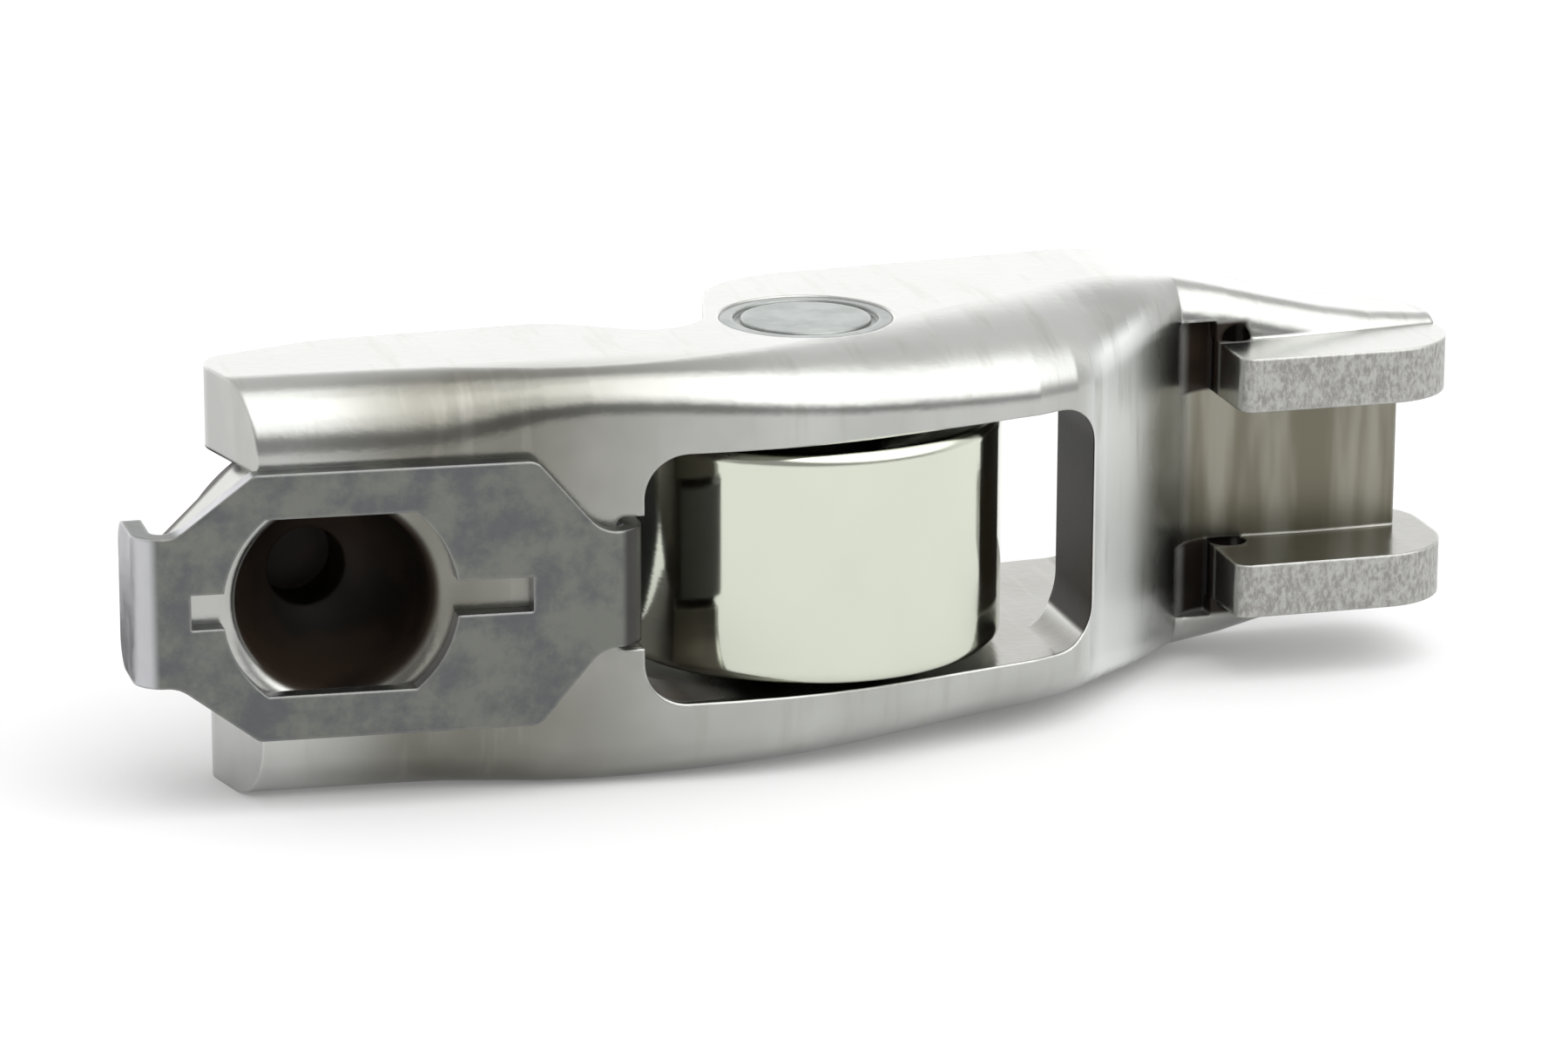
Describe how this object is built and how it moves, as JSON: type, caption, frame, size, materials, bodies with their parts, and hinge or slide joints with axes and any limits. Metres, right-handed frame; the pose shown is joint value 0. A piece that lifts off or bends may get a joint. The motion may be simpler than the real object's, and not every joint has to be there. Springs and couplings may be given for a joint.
{
  "type": "rocker arm",
  "caption": "Stamped roller finger follower: drawn ball socket with a spring clip, needle-borne cam roller in a window, and a valve pallet between guide flanges.",
  "frame": {"origin": "centre of the pivot ball in the socket", "axes": "+X along the lever to the valve, +Y from the underside to the cam side, +Z along the roller axle and up, as the lever lies on its side"},
  "size_m": [0.0607, 0.0178, 0.0178],
  "materials": {
    "lever_steel": "satin, case hardened, with bright bends",
    "roller_steel": "ground and polished",
    "pin_steel": "ground, with a staked end",
    "needle_steel": "polished",
    "clip_steel": "dark, phosphated spring steel"
  },
  "bodies": {
    "lever": {"lever_body": "lever_steel", "axle_pin": "pin_steel", "retaining_clip": "clip_steel"},
    "roller": {"roller": "roller_steel"},
    "needle_set": {"needle_01": "needle_steel", "needle_02": "needle_steel", "needle_03": "needle_steel", "needle_04": "needle_steel", "needle_05": "needle_steel", "needle_06": "needle_steel", "needle_07": "needle_steel", "needle_08": "needle_steel", "needle_09": "needle_steel", "needle_10": "needle_steel", "needle_11": "needle_steel", "needle_12": "needle_steel", "needle_13": "needle_steel", "needle_14": "needle_steel", "needle_15": "needle_steel", "needle_16": "needle_steel"}
  },
  "joints": [
    {"name": "roller_spin", "type": "hinge", "parent": "lever", "child": "roller", "pos_m": [0.022, 0.0055, 0], "axis": [0, 0, 1], "continuous": true},
    {"name": "needle_orbit", "type": "hinge", "parent": "lever", "child": "needle_set", "pos_m": [0.022, 0.0055, 0], "axis": [0, 0, 1], "continuous": true}
  ],
  "couplings": [
    {"joint": "needle_orbit", "follows": "roller_spin", "ratio": 0.5981}
  ]
}
